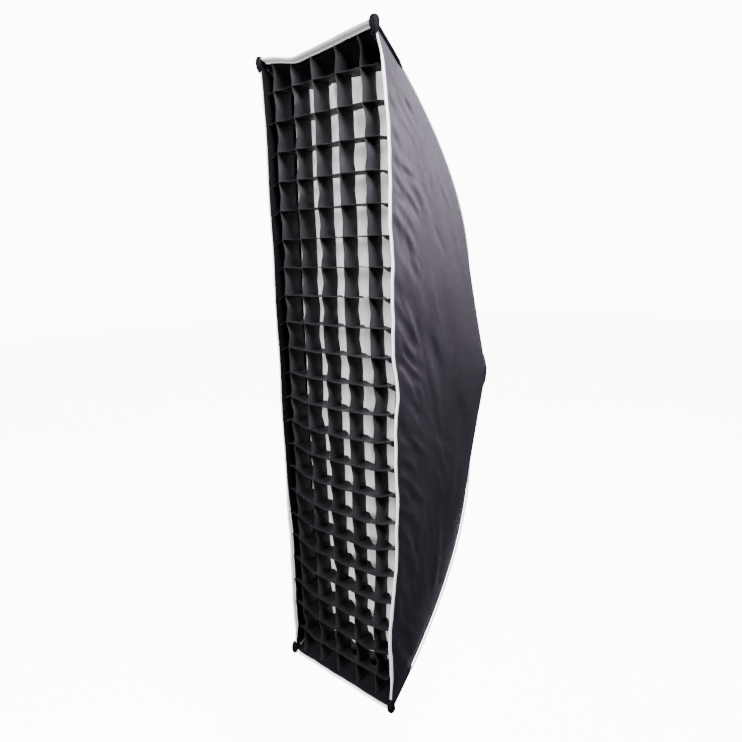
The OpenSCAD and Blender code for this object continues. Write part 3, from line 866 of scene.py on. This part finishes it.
def inner_strip(t0, fronts, depth, side_gap, cap_gap):
    """Four tapes on the inside of the canopy. fronts gives where each one ends, for a place along it."""
    parts = []
    for hand, side_front, cap_front in ((1, fronts[0], fronts[2]), (-1, fronts[1], fronts[3])):
        for surface, front, half, gap, hint in (
            (side_points, side_front, HALF_H, side_gap, (hand, 0.6, 0)),
            (cap_points, cap_front, HALF_W, cap_gap, (0, 0.6, hand)),
        ):
            k = np.linspace(0, 1, 5)[:, None]
            m = 121 if surface is side_points else 33
            s = np.linspace(-1, 1, m)[None, :] * (1 - gap / half)
            t = t0 + (front(s) - t0) * k
            p = surface(t, s + 0 * t, hand)
            n = normals(p, hint)
            v, f, _ = thick_grid(p - n * depth, n, 1.0)
            parts.append((v, f.tolist()))
    return joined(parts)


def even(t):
    """A front edge at one t all along."""
    return lambda s: t + 0 * s


def make_tapes():
    """Hook-and-loop tapes on the lining, for the diffuser and for the grid."""
    for name, node, t0, t1, gaps in (
        ("diffuser_tapes", "diffuser_fastener", 0.89, 0.925, (45, 30)),
        ("grid_tapes", "grid_fastener", 0.945, 0.975, (60, 40)),
    ):
        obj = new_mesh(name, *inner_strip(t0, (even(t1),) * 4, 2.0, *gaps), [HOOK])
        close_in(obj, "speed_ring")
        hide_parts(node)


make_tapes()
make_front_diffuser()
make_baffle()


# ---------------------------------------------------------------- egg-crate grid
UPRIGHT_X = (-119.0, -64.0, -9.0, 49.0, 104.0)
UPRIGHT_DEPTH = 39.5  # shallower than the crosspieces, so that light gets past
ROWS = range(1, CELLS_UP)
GRID_DROP = 2.0  # the grid hangs this much lower than the mouth's middle


def row_z(k):
    """Height of a crosspiece."""
    return (k - CELLS_UP / 2) * ROW_PITCH - GRID_DROP


def chance(*keys):
    """A fixed number from 0 to 1 that looks random, for whole-number keys."""
    value = np.sin(sum(np.asarray(k) * f for k, f in zip(keys, (12.9898, 78.233, 37.719)))) * 43758.5453
    return value - np.floor(value)


def cell_phase(z):
    """0 at a crosspiece and 1 half-way between two."""
    return np.sin(np.pi * (z + GRID_DROP + HALF_H) / ROW_PITCH) ** 2


def cell_number(z):
    return np.floor((z + GRID_DROP + HALF_H) / ROW_PITCH)


def column_of(x):
    """Which column of cells a point is in, and how far across it, from 0 to 1."""
    edges = np.array((-HALF_W, *UPRIGHT_X, HALF_W))
    k = np.clip(np.searchsorted(edges, x, side="right") - 1, 0, len(edges) - 2)
    return k, (x - edges[k]) / (edges[k + 1] - edges[k])


def finish_grid_piece(obj, node):
    """What every piece of the grid has in common."""
    close_in(obj, "grid")
    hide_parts(node)


def make_uprights():
    """Five upright strips that belly and lean a little in each cell."""
    parts = []
    for index, x0 in enumerate(UPRIGHT_X):
        top_end = 596 - top_sag(np.array(x0)) - 3.5
        low_end = -600 - bottom_sag(np.array(x0)) * 0.4 + 4
        w = np.linspace(0, 1, 420)[None, :]
        u = np.linspace(0, 1, 11)[:, None]
        z_top = top_end - 28 * u
        z_low = low_end + 30 * u
        z = z_low + (z_top - z_low) * w
        phase = cell_phase(z)
        cell = cell_number(z)
        front = GRID_FRONT + cell_bow(x0 + 0 * z, z) + (0.5 + 2.5 * chance(cell, index, 3)) * phase
        depth = UPRIGHT_DEPTH - (1.0 + 4.0 * chance(cell, index, 1)) * phase
        y = front + depth * u
        lean = (chance(cell, index) - 0.42) * 7.0 * phase
        belly = (2.6 + 2.6 * chance(cell, index, 2)) * (0.35 + 0.65 * phase) * np.sin(np.pi * u)
        x = x0 + lean * (1 - 0.4 * u) + belly - 1.2 * index * u
        p = np.stack([x, y, z], -1)
        v, f, _ = thick_grid(p, normals(p, (1, 0, 0)), 1.0)
        parts.append((v, f.tolist()))
    obj = new_mesh("grid_upright_strips", *joined(parts), [STRIP])
    finish_grid_piece(obj, "grid_uprights")


def make_crosspieces():
    """Strips across the grid that droop in each cell and twist where they meet the right wall."""
    parts = []
    for k in ROWS:
        last = k in (1, CELLS_UP - 1)
        end = 146.5 - (8 if last else 0)
        a = np.linspace(-1, 1, 161)[None, :]
        u = np.linspace(0, 1, 9)[:, None]
        x = a * (end - 9.5 * u)
        column, part = column_of(a * end)
        phase = np.sin(np.pi * part) ** 2
        droop = (1.0 + 5.0 * chance(column, k)) * phase * smooth((300 - row_z(k)) / 700)
        wave = 1.6 * (chance(column, k, 5) - 0.5) * phase
        depth = (GRID_DEPTH - (14 if last else 0)) * (1 - (0.15 + 0.2 * chance(column, k, 4)) * phase)
        wall = smooth((np.abs(x) - (end - 20)) / 18)
        twist = 8.5 * smooth((row_z(k) + 260) / 200) * smooth((520 - row_z(k)) / 80)
        low_rows = smooth((180 - row_z(k)) / 350) * smooth((row_z(k) + 590) / 60)
        rise = 9.0 * smooth((x - 100) / 44) + 17.0 * smooth((-x - 50) / 95) ** 1.5
        z = row_z(k) - droop + wave + rise * low_rows + wall * twist * (2 * u - 1) - 2.0 * phase * u
        front = GRID_FRONT + cell_bow(x, row_z(k) + 0 * x) + (1 + 3 * chance(column, k, 6)) * phase
        y = front + depth * u
        p = np.stack([x, y, z + 0 * x], -1)
        v, f, _ = thick_grid(p, normals(p, (0, 0, 1)), 1.0)
        parts.append((v, f.tolist()))
    # The crosspieces use the darkened copy of the grid fabric: painted shade.
    obj = new_mesh("grid_cross_strips", *joined(parts), [SHADED_CROSS_STRIP])
    finish_grid_piece(obj, "grid_crosspieces")


def make_grid_border():
    """The cloth frame of the grid, inside the hem."""

    def left(s):
        return 0.990 + 0.0105 * smooth((s * HALF_H + 330) / 160)

    fronts = (even(0.990), left, even(0.981), even(0.984))
    v, f = inner_strip(0.936, fronts, 4.4, 10, 8)
    # The border cloth takes the darkened facing nylon: painted shade.
    obj = new_mesh("grid_border_cloth", v, f, [SHADE_FACING])
    finish_grid_piece(obj, "grid_border")


make_uprights()
make_crosspieces()
make_grid_border()


# ---------------------------------------------------------------- carried-over CAD pieces
def paint():
    """Gives the carried-over CAD nodes their materials."""
    table = {
        "bayonet_ring": BAYONET,
        "retaining_plate": BLACK_METAL,
        "retainer_screws": SPRING,
        "friction_washer": SPRING,
        "speed_ring_plate": RING,
        "hinge_pins": SPRING,
    }
    for c in CORNER.values():
        table[f"rod_socket_{c}"] = BLACK_METAL
        table[f"rod_tip_{c}"] = FERRULE
        table[f"release_button_{c}"] = BUTTON
    for node, material in table.items():
        data = NODES[node].data
        data.materials.clear()
        data.materials.append(material)


paint()


def make_collar():
    """The gathered cloth collar around the ring plate."""
    a = np.linspace(0, 2 * np.pi, 181)[:, None]
    u = np.linspace(0, 1, 9)[None, :]
    r = 77.2 + 2.0 * np.sin(np.pi * u) + 0.35 * np.sin(a * 36) * np.sin(np.pi * u)
    y = 1 - 12.5 * u + 0 * a
    p = np.stack([r * np.sin(a), y, r * np.cos(a)], -1)
    n = np.stack([np.sin(a) + 0 * u, 0 * r, np.cos(a) + 0 * u], -1)
    v, f, _ = thick_grid(p, n, 0.6)
    obj = new_mesh("ring_collar_cloth", v, f, [BLACK])
    weld(obj)
    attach(obj, "speed_ring")
    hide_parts("ring_collar")


make_collar()


# ---------------------------------------------------------------- floor and light
def make_floor():
    """A plain pale floor below the box, which hangs on a lamp head."""
    mesh = bpy.data.meshes.new("floor")
    size, z = 12.0, -1.05
    corners = [(-size, -size, z), (size, -size, z), (size, size, z), (-size, size, z)]
    mesh.from_pydata(corners, [], [(0, 1, 2, 3)])
    n = Nodes("floor")
    n.set(Base_Color=(0.85, 0.85, 0.86, 1), Roughness=0.9)
    n.set(Emission_Color=(1, 1, 1, 1), Emission_Strength=11.0)
    mesh.materials.append(n.mat)
    floor = bpy.data.objects.new("floor", mesh)
    bpy.context.scene.collection.objects.link(floor)
    floor.visible_diffuse = False
    floor.visible_glossy = False


def area_light(name, at, aim, size, power, colour=(1, 1, 1)):
    """A soft box of light at a place, aimed at a point."""
    data = bpy.data.lights.new(name, "AREA")
    data.shape = "RECTANGLE"
    data.size, data.size_y = size
    data.energy = power
    data.color = colour
    light = bpy.data.objects.new(name, data)
    light.location = at
    light.rotation_euler = (Vector(aim) - Vector(at)).to_track_quat("-Z", "Y").to_euler()
    light.visible_camera = False
    bpy.context.scene.collection.objects.link(light)


def make_world():
    """A plain bright background that lights nothing."""
    world = bpy.data.worlds.new("studio")
    world.use_nodes = True
    background = world.node_tree.nodes["Background"]
    background.inputs["Color"].default_value = (1, 1, 1, 1)
    background.inputs["Strength"].default_value = 12.0
    bpy.context.scene.world = world
    world.cycles_visibility.diffuse = False
    world.cycles_visibility.glossy = False


make_floor()
make_world()
area_light("front", (-0.9, -2.6, 0.95), (0, 0, 0.15), (2.2, 1.5), 195)
area_light("behind_right", (1.5, 2.7, 1.30), (0.1, -0.2, 0.32), (2.4, 1.5), 196, (0.96, 0.90, 1.0))
area_light("side", (1.0, -0.6, 1.25), (0, -0.3, 0.38), (0.5, 0.6), 135, (0.98, 0.95, 1.0))
area_light("below", (0.6, -2.2, -1.0), (0, -0.3, 0), (2.4, 1.6), 8)
